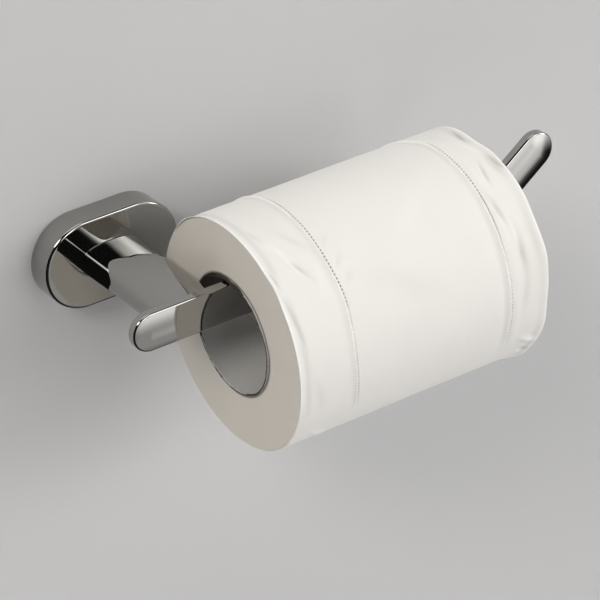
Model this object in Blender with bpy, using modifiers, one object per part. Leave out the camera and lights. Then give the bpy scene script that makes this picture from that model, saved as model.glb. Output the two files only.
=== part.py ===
"""Toilet paper holder: a stadium base cover on a wall bracket, an oval post, a flat bar with an
upturned end, and the roll that hangs on it.

The origin is the centre of the bracket's face on the wall. The wall is the plane Y = 0 and the
holder stands out from it towards -Y, the bar runs along +X to its free end, and Z is up.
A depth below is a distance from the wall, so a piece at depth d is at Y = -d.
"""

import math

import bmesh
import bpy
from mathutils import Vector

MM = 0.001

# Clearance between pieces that touch, how far a cutter runs past a face, and the fineness of
# round outlines
GAP = 0.3 * MM
OVERSHOOT = 1.0 * MM
ARC_STEPS = 14
SMALL_ARC_STEPS = 8
TURN_STEPS = 28
SMALL_TURN_STEPS = 20
ROLL_STEPS = 64

# Base cover: a cup with a stadium outline, open towards the wall
COVER_HALF_LENGTH = 28.5 * MM
COVER_HALF_HEIGHT = 17.8 * MM
COVER_DEPTH = 10.9 * MM
COVER_WALL = 1.6 * MM
COVER_EDGE = 0.9 * MM
COVER_INNER_DEPTH = COVER_DEPTH - COVER_WALL
SPIGOT_LENGTH = 3.0 * MM

# Post: an oval tube between the cover and the bar
POST_HALF_WIDTH = 12.6 * MM
POST_HALF_HEIGHT = 6.9 * MM
POST_POWER = 2.8
POST_POINTS = 44
POST_WALL = 3.4 * MM

# Bar: a flat blade across the post's end
BAR_DEPTH = 63.8 * MM
BAR_THICKNESS = 4.0 * MM
BAR_HEIGHT = 15.3 * MM
BAR_EDGE = 0.8 * MM
BAR_MIDDLE_Z = 1.3 * MM
BAR_LEFT = -26.7 * MM
BAR_KNEE_X = 133.0 * MM
BAR_KNEE_RADIUS = 22.5 * MM
BAR_RISE = math.radians(36.0)
BAR_TIP_LENGTH = 24.2 * MM

# Tie bolt and the pieces that it clamps
BOLT_RADIUS = 2.0 * MM
BOLT_HEAD_RADIUS = 3.5 * MM
BOLT_HEAD_HEIGHT = 2.6 * MM
BOLT_HEAD_CHAMFER = 1.2 * MM
BOLT_HEAD_TOP_RADIUS = 2.8 * MM
BOLT_CHAMFER = 0.6 * MM
BOLT_TIP_CLEARANCE = 1.0 * MM
BOLT_KEY_RADIUS = 1.45 * MM
BOLT_KEY_DEPTH = 1.8 * MM
CLAMP_THICKNESS = 1.5 * MM
CLAMP_HALF_LENGTH = 13.0 * MM
CLAMP_HALF_HEIGHT = 8.0 * MM
WASHER_RADIUS = 3.8 * MM
WASHER_THICKNESS = 1.0 * MM
WASHER_SPLIT = 0.8 * MM
PLUG_LENGTH = 8.0 * MM
PLUG_END_WALL = 1.0 * MM

# Wall bracket: a pressed plate with two lips that lean outwards
BRACKET_HALF_LENGTH = 23.0 * MM
BRACKET_HALF_HEIGHT = 11.0 * MM
BRACKET_THICKNESS = 1.6 * MM
LIP_HALF_WIDTH = 9.0 * MM
LIP_DEPTH = 6.2 * MM
LIP_LEAN = 2.0 * MM
HOOK_HALF_WIDTH = 7.0 * MM
HOOK_Z = 12.4 * MM
HOOK_BACK_DEPTH = 0.8 * MM
HOOK_FRONT_DEPTH = 2.6 * MM

# Wall screws and anchors
SCREW_X = 16.0 * MM
SCREW_RADIUS = 1.9 * MM
SCREW_LENGTH = 26.0 * MM
SCREW_HEAD_RADIUS = 3.8 * MM
SCREW_HEAD_HEIGHT = 2.4 * MM
SCREW_HEAD_FLAT_RADIUS = 2.1 * MM
SCREW_HEAD_CROWN_RADIUS = 3.35 * MM
SCREW_HEAD_CROWN = 0.5 * MM
SCREW_HEAD_SHOULDER = 1.2 * MM
SCREW_POINT_LENGTH = 5.0 * MM
RECESS_DEPTH = 1.3 * MM
RECESS_REACH = 2.0 * MM
RECESS_HALF_WIDTH = 0.45 * MM
SLOT_HALF_HEIGHT = 2.4 * MM
SLOT_HALF_LENGTH = 4.2 * MM
ANCHOR_RADIUS = 3.0 * MM
ANCHOR_SINK = 2.5 * MM
ANCHOR_LENGTH = 28.0 * MM
ANCHOR_COLLAR_RADIUS = 3.7 * MM
ANCHOR_COLLAR_HEIGHT = 0.9 * MM
ANCHOR_RIB_PITCH = 4.5 * MM
ANCHOR_RIB_HEIGHT = 0.5 * MM
ANCHOR_RIB_STEP = 0.4 * MM
ANCHOR_RIB_GAP = 1.2 * MM
ANCHOR_TIP_TAPER = 0.4 * MM
ANCHOR_SLIT = 0.8 * MM
ANCHOR_SLIT_START = 6.0 * MM

# Set screw in the cover's underside
SET_SCREW_RADIUS = 2.0 * MM
SET_SCREW_DEPTH = 3.9 * MM
SET_SCREW_BOTTOM = -17.6 * MM
SET_SCREW_TOP = -13.3 * MM
SET_SCREW_POINT_RADIUS = 1.2 * MM
SET_SCREW_POINT_HEIGHT = 0.8 * MM
SET_SCREW_CHAMFER = 0.3 * MM
SET_SCREW_KEY_RADIUS = 1.15 * MM
SET_SCREW_KEY_DEPTH = 2.0 * MM
SET_BOSS_HALF_WIDTH = 3.8 * MM
SET_BOSS_BACK = 3.2 * MM
SET_BOSS_TOP = -14.2 * MM

# Paper roll on its cardboard core
ROLL_RADIUS = 45.0 * MM
ROLL_LEFT = 14.5 * MM
ROLL_WIDTH = 109.8 * MM
ROLL_EDGE = 1.2 * MM
CORE_INNER_RADIUS = 22.5 * MM
CORE_WALL = 0.6 * MM
CORE_INSET = 0.5 * MM

# The roll hangs with the inside of its core on the bar's top face
BAR_TOP_Z = BAR_MIDDLE_Z + BAR_HEIGHT / 2
ROLL_AXIS_Y = -(BAR_DEPTH + BAR_THICKNESS / 2)
ROLL_AXIS_Z = BAR_TOP_Z + GAP - math.sqrt(CORE_INNER_RADIUS**2 - (BAR_THICKNESS / 2) ** 2)

# Colours as base colour, metallic and roughness
POLISHED_METAL = ((0.46, 0.45, 0.43), 1.0, 0.07)
PLATED_STEEL = ((0.62, 0.63, 0.65), 1.0, 0.35)
DARK_STEEL = ((0.16, 0.16, 0.17), 1.0, 0.4)
GREY_NYLON = ((0.55, 0.56, 0.57), 0.0, 0.5)
CARDBOARD = ((0.50, 0.46, 0.41), 0.0, 0.85)
TISSUE = ((0.90, 0.89, 0.87), 0.0, 0.95)


def clear_scene():
    for item in list(bpy.data.objects):
        bpy.data.objects.remove(item, do_unlink=True)


def new_collection(name):
    collection = bpy.data.collections.new(name)
    bpy.context.scene.collection.children.link(collection)
    return collection


def give_material(item, finish):
    colour, metallic, roughness = finish
    material = bpy.data.materials.new(item.name + "_material")
    material.use_nodes = True
    shader = material.node_tree.nodes["Principled BSDF"]
    shader.inputs["Base Color"].default_value = (*colour, 1.0)
    shader.inputs["Metallic"].default_value = metallic
    shader.inputs["Roughness"].default_value = roughness
    item.data.materials.append(material)


# Outlines are lists of (x, z) points, seen from the room


def arc(centre_x, centre_z, radius, start, end, steps=ARC_STEPS):
    """Points on an arc from one angle to another, in radians."""
    points = []
    for step in range(steps + 1):
        angle = start + (end - start) * step / steps
        points.append((centre_x + radius * math.cos(angle), centre_z + radius * math.sin(angle)))
    return points


def stadium(half_length, half_height, steps=ARC_STEPS):
    """Two straight sides and two half-round ends."""
    centre = half_length - half_height
    right = arc(centre, 0, half_height, -math.pi / 2, math.pi / 2, steps)
    left = arc(-centre, 0, half_height, math.pi / 2, 3 * math.pi / 2, steps)
    return right + left


def oval(half_width, half_height):
    """A superellipse, between an ellipse and a rectangle."""
    points = []
    for step in range(POST_POINTS):
        angle = 2 * math.pi * step / POST_POINTS
        cosine, sine = math.cos(angle), math.sin(angle)
        x = half_width * math.copysign(abs(cosine) ** (2 / POST_POWER), cosine)
        z = half_height * math.copysign(abs(sine) ** (2 / POST_POWER), sine)
        points.append((x, z))
    return points


def bar_outline():
    """The blade: a half-round left end, a straight run, a bend upwards and a half-round tip."""
    half = BAR_HEIGHT / 2
    bend_x = BAR_KNEE_X - BAR_KNEE_RADIUS * math.tan(BAR_RISE / 2)
    bend_z = BAR_MIDDLE_Z + BAR_KNEE_RADIUS
    tip_x = BAR_KNEE_X + BAR_TIP_LENGTH * math.cos(BAR_RISE)
    tip_z = BAR_MIDDLE_Z + BAR_TIP_LENGTH * math.sin(BAR_RISE)
    down = -math.pi / 2
    points = arc(BAR_LEFT + half, BAR_MIDDLE_Z, half, -down, -3 * down)
    points += arc(bend_x, bend_z, BAR_KNEE_RADIUS + half, down, down + BAR_RISE, ARC_STEPS // 2)
    points += arc(tip_x, tip_z, half, down + BAR_RISE, down + BAR_RISE + math.pi)
    points += arc(bend_x, bend_z, BAR_KNEE_RADIUS - half, down + BAR_RISE, down, ARC_STEPS // 2)
    return points


# Shapes


def mesh_object(name, mesh, collection):
    item = bpy.data.objects.new(name, mesh)
    collection.objects.link(item)
    return item


def finish_mesh(name, bm):
    bmesh.ops.recalc_face_normals(bm, faces=bm.faces)
    mesh = bpy.data.meshes.new(name)
    bm.to_mesh(mesh)
    bm.free()
    mesh.shade_smooth()
    mesh.set_sharp_from_angle(angle=math.radians(32))
    return mesh


def prism(name, outline, depth_from, depth_to, collection, back_edge=0.0, front_edge=0.0):
    """An outline swept from one depth to a greater one, with its rims rounded."""
    bm = bmesh.new()
    corners = [bm.verts.new((x, -depth_from, z)) for x, z in outline]
    face = bm.faces.new(corners)
    swept = bmesh.ops.extrude_face_region(bm, geom=[face])["geom"]
    moved = [part for part in swept if isinstance(part, bmesh.types.BMVert)]
    bmesh.ops.translate(bm, verts=moved, vec=Vector((0, depth_from - depth_to, 0)))
    bmesh.ops.remove_doubles(bm, verts=bm.verts, dist=1e-6)
    for depth, radius in ((depth_from, back_edge), (depth_to, front_edge)):
        if radius > 0:
            rim = [edge for edge in bm.edges if all(abs(v.co.y + depth) < 1e-6 for v in edge.verts)]
            bmesh.ops.bevel(
                bm, geom=rim, offset=radius, segments=3, profile=0.5, affect="EDGES"
            )
    return mesh_object(name, finish_mesh(name, bm), collection)


def block(name, low, high, collection):
    """A box between two corners."""
    bm = bmesh.new()
    bmesh.ops.create_cube(bm, size=1.0)
    size = Vector(high) - Vector(low)
    middle = (Vector(high) + Vector(low)) / 2
    bmesh.ops.scale(bm, verts=bm.verts, vec=size)
    bmesh.ops.translate(bm, verts=bm.verts, vec=middle)
    return mesh_object(name, finish_mesh(name, bm), collection)


def lip_block(name, side, collection):
    """A bracket lip: a slab that leans outwards as it leaves the plate. side is 1 above, -1 below."""
    back, front = -BRACKET_THICKNESS / 2, -LIP_DEPTH
    inner = BRACKET_HALF_HEIGHT - BRACKET_THICKNESS
    lip = block(
        name, (-LIP_HALF_WIDTH, front, inner), (LIP_HALF_WIDTH, back, BRACKET_HALF_HEIGHT), collection
    )
    for corner in lip.data.vertices:
        corner.co.z += LIP_LEAN * (-corner.co.y - BRACKET_THICKNESS / 2) / LIP_DEPTH
        corner.co.z *= side
    if side < 0:
        lip.data.flip_normals()
    return lip


def rod(name, radius, start, end, collection, sides=TURN_STEPS):
    """A cylinder from one point to another."""
    start, end = Vector(start), Vector(end)
    bm = bmesh.new()
    bmesh.ops.create_cone(
        bm,
        cap_ends=True,
        segments=sides,
        radius1=radius,
        radius2=radius,
        depth=(end - start).length,
    )
    item = mesh_object(name, finish_mesh(name, bm), collection)
    item.location = (start + end) / 2
    item.rotation_euler = (end - start).to_track_quat("Z", "Y").to_euler()
    return item


def turned(name, profile, collection, closed, steps=TURN_STEPS):
    """A solid turned about local Z from (radius, height) points that run down its outer side.
    An open profile starts and ends on the axis, and a closed one makes a ring."""
    count = len(profile)
    edges = [(index, index + 1) for index in range(count - 1)]
    if closed:
        edges.append((count - 1, 0))
    mesh = bpy.data.meshes.new(name)
    mesh.from_pydata([(radius, 0, height) for radius, height in profile], edges, [])
    item = mesh_object(name, mesh, collection)
    screw = item.modifiers.new("turn", "SCREW")
    screw.axis = "Z"
    screw.steps = steps
    screw.render_steps = steps
    screw.use_smooth_shade = True
    screw.use_merge_vertices = True
    screw.merge_threshold = 1e-6
    return item


def boolean(item, tool, operation):
    modifier = item.modifiers.new(operation.lower() + "_" + tool.name, "BOOLEAN")
    modifier.operation = operation
    modifier.solver = "EXACT"
    modifier.object = tool
    tool.hide_render = True
    tool.display_type = "WIRE"


# Pieces on the wall


def make_bracket(parts, cutters):
    plate = stadium(BRACKET_HALF_LENGTH, BRACKET_HALF_HEIGHT)
    bracket = prism("wall_bracket", plate, 0, BRACKET_THICKNESS, parts)
    for side, word in ((1, "upper"), (-1, "lower")):
        boolean(bracket, lip_block("lip_" + word, side, cutters), "UNION")
    for side, word in ((-1, "left"), (1, "right")):
        around = stadium(SLOT_HALF_LENGTH, SLOT_HALF_HEIGHT, SMALL_ARC_STEPS)
        outline = [(x + side * SCREW_X, z) for x, z in around]
        slot = prism("slot_" + word, outline, -OVERSHOOT, BRACKET_THICKNESS + OVERSHOOT, cutters)
        boolean(bracket, slot, "DIFFERENCE")
    give_material(bracket, PLATED_STEEL)
    return bracket


def make_wall_screw(word, x, parts, cutters):
    """A pan-head screw through the bracket, with a tapered point and a cross recess."""
    under = BRACKET_THICKNESS + GAP
    top = under + SCREW_HEAD_HEIGHT
    profile = [
        (0, top),
        (SCREW_HEAD_FLAT_RADIUS, top),
        (SCREW_HEAD_CROWN_RADIUS, top - SCREW_HEAD_CROWN),
        (SCREW_HEAD_RADIUS, top - SCREW_HEAD_SHOULDER),
        (SCREW_HEAD_RADIUS, under),
        (SCREW_RADIUS, under),
        (SCREW_RADIUS, SCREW_POINT_LENGTH - SCREW_LENGTH),
        (0, -SCREW_LENGTH),
    ]
    screw = turned("wall_screw_" + word, profile, parts, closed=False, steps=SMALL_TURN_STEPS)
    screw.location = (x, 0, 0)
    screw.rotation_euler = (math.radians(90), 0, 0)
    arms = ((RECESS_REACH, RECESS_HALF_WIDTH), (RECESS_HALF_WIDTH, RECESS_REACH))
    for turn, (reach_x, reach_z) in enumerate(arms):
        low = (x - reach_x, -top - OVERSHOOT, -reach_z)
        high = (x + reach_x, RECESS_DEPTH - top, reach_z)
        boolean(screw, block(f"recess_{word}_{turn}", low, high, cutters), "DIFFERENCE")
    give_material(screw, PLATED_STEEL)
    return screw


def make_wall_anchor(word, x, parts, cutters):
    """A ribbed wall plug with a collar and a long slit, sunk under the wall's surface."""
    bore = SCREW_RADIUS + GAP
    collar_end = -ANCHOR_SINK - ANCHOR_COLLAR_HEIGHT
    profile = [
        (ANCHOR_COLLAR_RADIUS, -ANCHOR_SINK),
        (ANCHOR_COLLAR_RADIUS, collar_end),
        (ANCHOR_RADIUS, collar_end),
    ]
    height = collar_end - ANCHOR_RIB_GAP
    while height - ANCHOR_RIB_PITCH > ANCHOR_RIB_GAP - ANCHOR_LENGTH:
        profile.append((ANCHOR_RADIUS, height))
        profile.append((ANCHOR_RADIUS + ANCHOR_RIB_HEIGHT, height - ANCHOR_RIB_STEP))
        profile.append((ANCHOR_RADIUS, height - ANCHOR_RIB_PITCH + ANCHOR_RIB_GAP))
        height -= ANCHOR_RIB_PITCH
    profile.append((ANCHOR_RADIUS - ANCHOR_TIP_TAPER, -ANCHOR_LENGTH))
    profile.append((bore, -ANCHOR_LENGTH))
    profile.append((bore, -ANCHOR_SINK))
    anchor = turned("wall_anchor_" + word, profile, parts, closed=True, steps=SMALL_TURN_STEPS)
    anchor.location = (x, 0, 0)
    anchor.rotation_euler = (math.radians(90), 0, 0)
    reach = ANCHOR_COLLAR_RADIUS + OVERSHOOT
    low = (x - ANCHOR_SLIT / 2, ANCHOR_SINK + ANCHOR_SLIT_START, -reach)
    high = (x + ANCHOR_SLIT / 2, ANCHOR_LENGTH + OVERSHOOT, reach)
    boolean(anchor, block("slit_" + word, low, high, cutters), "DIFFERENCE")
    give_material(anchor, GREY_NYLON)
    return anchor


# Cover and its set screw


def make_cover(parts, cutters):
    """The cup, with a spigot for the post, a hook over the bracket's upper lip and a tapped boss."""
    outline = stadium(COVER_HALF_LENGTH, COVER_HALF_HEIGHT)
    cover = prism("base_cover", outline, 0, COVER_DEPTH, parts, front_edge=COVER_EDGE)
    inside = stadium(COVER_HALF_LENGTH - COVER_WALL, COVER_HALF_HEIGHT - COVER_WALL)
    hollow = prism("cover_inside", inside, -OVERSHOOT, COVER_INNER_DEPTH, cutters)
    boolean(cover, hollow, "DIFFERENCE")

    inner_top = COVER_HALF_HEIGHT - COVER_WALL / 2
    hook_low = (-HOOK_HALF_WIDTH, -HOOK_FRONT_DEPTH, HOOK_Z)
    hook_high = (HOOK_HALF_WIDTH, -HOOK_BACK_DEPTH, inner_top)
    boolean(cover, block("cover_hook", hook_low, hook_high, cutters), "UNION")
    boss_low = (-SET_BOSS_HALF_WIDTH, -SET_SCREW_DEPTH - SET_BOSS_HALF_WIDTH, -inner_top)
    boss_high = (SET_BOSS_HALF_WIDTH, -SET_SCREW_DEPTH + SET_BOSS_BACK, SET_BOSS_TOP)
    boolean(cover, block("set_screw_boss", boss_low, boss_high, cutters), "UNION")

    fit = POST_WALL + GAP
    spigot_outline = oval(POST_HALF_WIDTH - fit, POST_HALF_HEIGHT - fit)
    spigot_start = COVER_DEPTH - COVER_WALL / 2
    spigot = prism("spigot", spigot_outline, spigot_start, COVER_DEPTH + SPIGOT_LENGTH, cutters)
    boolean(cover, spigot, "UNION")

    hole_back = (0, OVERSHOOT - COVER_INNER_DEPTH, 0)
    hole_front = (0, -COVER_DEPTH - SPIGOT_LENGTH - OVERSHOOT, 0)
    bolt_hole = rod("bolt_hole", BOLT_RADIUS + GAP, hole_back, hole_front, cutters)
    boolean(cover, bolt_hole, "DIFFERENCE")
    hole_low = (0, -SET_SCREW_DEPTH, -COVER_HALF_HEIGHT - OVERSHOOT)
    hole_high = (0, -SET_SCREW_DEPTH, SET_BOSS_TOP + OVERSHOOT)
    tapped_hole = rod("tapped_hole", SET_SCREW_RADIUS + GAP, hole_low, hole_high, cutters)
    boolean(cover, tapped_hole, "DIFFERENCE")
    give_material(cover, POLISHED_METAL)
    return cover


def make_set_screw(parts, cutters):
    """A grub screw with a hexagon socket in its lower end. Its origin is on its own axis."""
    length = SET_SCREW_TOP - SET_SCREW_BOTTOM
    profile = [
        (0, length),
        (SET_SCREW_POINT_RADIUS, length),
        (SET_SCREW_RADIUS, length - SET_SCREW_POINT_HEIGHT),
        (SET_SCREW_RADIUS, SET_SCREW_CHAMFER),
        (SET_SCREW_RADIUS - SET_SCREW_CHAMFER, 0),
        (0, 0),
    ]
    screw = turned("set_screw", profile, parts, closed=False, steps=SMALL_TURN_STEPS)
    screw.location = (0, -SET_SCREW_DEPTH, SET_SCREW_BOTTOM)
    socket_low = (0, -SET_SCREW_DEPTH, SET_SCREW_BOTTOM - OVERSHOOT)
    socket_high = (0, -SET_SCREW_DEPTH, SET_SCREW_BOTTOM + SET_SCREW_KEY_DEPTH)
    socket = rod("set_screw_socket", SET_SCREW_KEY_RADIUS, socket_low, socket_high, cutters, sides=6)
    boolean(screw, socket, "DIFFERENCE")
    give_material(screw, DARK_STEEL)
    return screw


# Clamping stack


def make_clamp_plate(parts, cutters):
    front = COVER_INNER_DEPTH - GAP
    back = front - CLAMP_THICKNESS
    outline = stadium(CLAMP_HALF_LENGTH, CLAMP_HALF_HEIGHT, SMALL_ARC_STEPS)
    plate = prism("clamp_plate", outline, back, front, parts)
    hole_back, hole_front = (0, OVERSHOOT - back, 0), (0, -front - OVERSHOOT, 0)
    hole = rod("clamp_hole", BOLT_RADIUS + GAP, hole_back, hole_front, cutters)
    boolean(plate, hole, "DIFFERENCE")
    give_material(plate, PLATED_STEEL)
    return plate


def washer_front():
    return COVER_INNER_DEPTH - CLAMP_THICKNESS - 2 * GAP


def make_lock_washer(parts, cutters):
    """A split ring."""
    front = washer_front()
    back = front - WASHER_THICKNESS
    bore = BOLT_RADIUS + GAP
    profile = [(WASHER_RADIUS, front), (WASHER_RADIUS, back), (bore, back), (bore, front)]
    washer = turned("lock_washer", profile, parts, closed=True)
    washer.rotation_euler = (math.radians(90), 0, 0)
    split_low = (-WASHER_SPLIT / 2, -front - OVERSHOOT, 0)
    split_high = (WASHER_SPLIT / 2, OVERSHOOT - back, WASHER_RADIUS + OVERSHOOT)
    boolean(washer, block("washer_split", split_low, split_high, cutters), "DIFFERENCE")
    give_material(washer, DARK_STEEL)
    return washer


def make_tie_bolt(parts, cutters):
    """The head faces the wall and its socket takes a hexagon key."""
    under = washer_front() - WASHER_THICKNESS - GAP
    head = under - BOLT_HEAD_HEIGHT
    tip = BAR_DEPTH - GAP - PLUG_END_WALL - BOLT_TIP_CLEARANCE
    profile = [
        (0, tip),
        (BOLT_RADIUS - BOLT_CHAMFER, tip),
        (BOLT_RADIUS, tip - BOLT_CHAMFER),
        (BOLT_RADIUS, under),
        (BOLT_HEAD_RADIUS, under),
        (BOLT_HEAD_RADIUS, head + BOLT_HEAD_CHAMFER),
        (BOLT_HEAD_TOP_RADIUS, head),
        (0, head),
    ]
    bolt = turned("tie_bolt", profile, parts, closed=False)
    bolt.rotation_euler = (math.radians(90), 0, 0)
    socket_back, socket_front = (0, OVERSHOOT - head, 0), (0, -head - BOLT_KEY_DEPTH, 0)
    socket = rod("bolt_socket", BOLT_KEY_RADIUS, socket_back, socket_front, cutters, sides=6)
    boolean(bolt, socket, "DIFFERENCE")
    give_material(bolt, DARK_STEEL)
    return bolt


# Post and bar


def make_post(parts, cutters):
    start, end = COVER_DEPTH + GAP, BAR_DEPTH - GAP
    post = prism("post", oval(POST_HALF_WIDTH, POST_HALF_HEIGHT), start, end, parts)
    inside = oval(POST_HALF_WIDTH - POST_WALL, POST_HALF_HEIGHT - POST_WALL)
    bore = prism("post_bore", inside, start - OVERSHOOT, end + OVERSHOOT, cutters)
    boolean(post, bore, "DIFFERENCE")
    give_material(post, POLISHED_METAL)
    return post


def make_bar_plug(parts, cutters):
    """Fills the post's front end, and its blind tapped hole takes the tie bolt."""
    front = BAR_DEPTH - GAP
    fit = POST_WALL + GAP
    outline = oval(POST_HALF_WIDTH - fit, POST_HALF_HEIGHT - fit)
    plug = prism("bar_plug", outline, front - PLUG_LENGTH, front, parts)
    hole_start = (0, -(front - PLUG_LENGTH - OVERSHOOT), 0)
    hole_end = (0, -(front - PLUG_END_WALL), 0)
    boolean(plug, rod("plug_hole", BOLT_RADIUS + GAP, hole_start, hole_end, cutters), "DIFFERENCE")
    give_material(plug, PLATED_STEEL)
    return plug


def make_roll_bar(parts):
    front = BAR_DEPTH + BAR_THICKNESS
    bar = prism("roll_bar", bar_outline(), BAR_DEPTH, front, parts, BAR_EDGE, BAR_EDGE)
    give_material(bar, POLISHED_METAL)
    return bar


# Roll, turned about the hinge axis


def make_roll(parts):
    outer_core = CORE_INNER_RADIUS + CORE_WALL
    core_end = ROLL_WIDTH - CORE_INSET
    core_profile = [
        (outer_core, core_end),
        (outer_core, CORE_INSET),
        (CORE_INNER_RADIUS, CORE_INSET),
        (CORE_INNER_RADIUS, core_end),
    ]
    core = turned("core_tube", core_profile, parts, closed=True, steps=ROLL_STEPS)
    give_material(core, CARDBOARD)

    bore = outer_core + GAP
    shoulder = ROLL_RADIUS - ROLL_EDGE
    paper_profile = [
        (shoulder, ROLL_WIDTH),
        (ROLL_RADIUS, ROLL_WIDTH - ROLL_EDGE),
        (ROLL_RADIUS, ROLL_EDGE),
        (shoulder, 0),
        (bore, 0),
        (bore, ROLL_WIDTH),
    ]
    paper = turned("paper_roll", paper_profile, parts, closed=True, steps=ROLL_STEPS)
    give_material(paper, TISSUE)

    hinge = bpy.data.objects.new("roll_axis", None)
    parts.objects.link(hinge)
    hinge.location = (ROLL_LEFT, ROLL_AXIS_Y, ROLL_AXIS_Z)
    hinge.rotation_euler = (0, math.radians(90), 0)
    for piece in (core, paper):
        piece.parent = hinge
    return hinge


def main():
    clear_scene()
    parts = new_collection("toilet_paper_holder")
    cutters = new_collection("cutters")
    frame = bpy.data.objects.new("holder", None)
    parts.objects.link(frame)

    pieces = [
        make_bracket(parts, cutters),
        make_cover(parts, cutters),
        make_set_screw(parts, cutters),
        make_clamp_plate(parts, cutters),
        make_lock_washer(parts, cutters),
        make_tie_bolt(parts, cutters),
        make_post(parts, cutters),
        make_bar_plug(parts, cutters),
        make_roll_bar(parts),
        make_roll(parts),
    ]
    for word, x in (("left", -SCREW_X), ("right", SCREW_X)):
        pieces.append(make_wall_screw(word, x, parts, cutters))
        pieces.append(make_wall_anchor(word, x, parts, cutters))
    for piece in pieces:
        piece.parent = frame


main()
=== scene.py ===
"""Looks of the toilet paper holder: mirror-polished metal, a wound roll of tissue and its core,
and the fixings behind the base cover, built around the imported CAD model.

The wall is the plane Y = 0, the holder stands out from it towards -Y, the bar runs along +X and
Z is up. Outlines are (x, z) points, and a depth is a distance from the wall, at Y = -depth.
"""

import math

import bmesh
import bpy
import numpy as np
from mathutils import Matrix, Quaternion, Vector


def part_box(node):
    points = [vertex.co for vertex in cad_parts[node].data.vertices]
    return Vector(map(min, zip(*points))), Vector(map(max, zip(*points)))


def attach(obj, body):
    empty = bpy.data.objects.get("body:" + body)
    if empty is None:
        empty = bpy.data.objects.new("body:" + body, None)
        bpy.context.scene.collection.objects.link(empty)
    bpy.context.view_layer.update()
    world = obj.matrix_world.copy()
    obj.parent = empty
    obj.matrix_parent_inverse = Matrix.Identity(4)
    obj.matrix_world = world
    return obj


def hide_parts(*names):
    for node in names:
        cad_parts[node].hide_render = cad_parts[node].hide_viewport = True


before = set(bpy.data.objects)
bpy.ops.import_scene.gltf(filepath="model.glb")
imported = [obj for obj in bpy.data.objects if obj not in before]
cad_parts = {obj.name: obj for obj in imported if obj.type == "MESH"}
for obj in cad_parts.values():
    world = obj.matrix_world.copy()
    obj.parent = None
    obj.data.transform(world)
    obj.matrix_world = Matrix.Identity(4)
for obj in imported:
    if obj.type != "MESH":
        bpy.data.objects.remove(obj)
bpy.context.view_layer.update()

MM = 0.001
CORE_OUTER = (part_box("core_tube")[1].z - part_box("core_tube")[0].z) / 2

# Camera at the photograph's viewing angle
CAMERA_AZIMUTH = math.radians(-33.46)
CAMERA_ELEVATION = math.radians(30.92)
CAMERA_ROLL = math.radians(-2.465)
CAMERA_TARGET = Vector((0.0548, -0.0508, -0.0205))
CAMERA_DISTANCE = 1.234
CAMERA_LENS = 200.87

# Stage: its grey, the floor's height and half width, and how many times its opening the wall is
STAGE_GREY = (0.645, 0.645, 0.652, 1)
FLOOR_Z = -0.3
FLOOR_HALF_WIDTH = 4.0
WALL_SPREAD = 140

# Light: a square key light at the right, and soft boxes in the world all round. A soft box is a
# stretch of azimuth and elevation in degrees, with edges that fade over so many degrees at its
# sides, bottom and top, and is NEUTRAL unless it has a colour. Azimuth 0 is straight out from the
# wall and 90 is +X.
WARM = (1.0, 0.965, 0.915)
NEUTRAL = (1.0, 0.995, 0.98)
COOL = (0.93, 0.97, 1.0)
WORLD_BASE = 0.02
SOFT_BOXES = (
    dict(azimuth=(6, 50), elevation=(-48, -12), fades=(14, 8, 8), radiance=0.50),
    dict(azimuth=(0, 72), elevation=(-31, 36), fades=(14, 18, 12), radiance=1.45),
    dict(azimuth=(3, 18), elevation=(-8, 10), fades=(4, 4, 4), radiance=2.5),
    dict(azimuth=(29, 46), elevation=(-38, -10), fades=(6, 6, 12), radiance=0.6),
    dict(azimuth=(18, 40), elevation=(15, 36), fades=(9, 6, 9), radiance=3.4),
    dict(azimuth=(-180, 180), elevation=(60, 90.5), fades=(0.1, 14, 0.2), radiance=2.3),
    dict(azimuth=(48, 150), elevation=(24, 62), fades=(24, 14, 10), radiance=0.7, colour=COOL),
    dict(azimuth=(-82, -38), elevation=(33, 52), fades=(8, 4, 6), radiance=10.8, colour=WARM),
    dict(azimuth=(-39, -26), elevation=(23, 34), fades=(4, 3, 3), radiance=3.0),
    dict(azimuth=(118, 180.1), elevation=(-30, 44), fades=(0.2, 20, 20), radiance=0.9),
    dict(azimuth=(-180.1, -118), elevation=(-30, 44), fades=(0.2, 20, 20), radiance=0.9),
)
KEY_PLACE = (2.6, -1.7, 0.55)
KEY_SIZE = 0.8
KEY_RADIANCE = 8.5

# Tissue's colours for its painted highlights and for its painted shade at the darkest
HIGHLIGHT_TISSUE = (0.99, 0.985, 0.97)
PAINTED_SHADE_TISSUE = (0.16, 0.14, 0.12)

# Metal shapes that part.py also states
COVER_WALL = 1.6 * MM
POST_POWER = 2.8
POST_WALL = 3.4 * MM
BAR_HALF_HEIGHT = 7.65 * MM
BAR_MIDDLE_Z = 1.3 * MM
BAR_KNEE_X = 133.0 * MM
BAR_KNEE_RADIUS = 22.5 * MM
BAR_RISE = math.radians(36.0)
BAR_TIP_LENGTH = 24.2 * MM

# Inside the cover, also as in part.py
HOOK_HALF_WIDTH = 7.0 * MM
HOOK_Z = 12.4 * MM
HOOK_DEPTHS = (0.8 * MM, 2.6 * MM)
SPIGOT_LENGTH = 3.0 * MM
SPIGOT_GAP = 0.3 * MM
BOSS_HALF_WIDTH = 3.8 * MM
BOSS_BACK = 3.2 * MM
BOSS_TOP = -14.2 * MM
HOLE_RADIUS = 2.3 * MM

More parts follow.
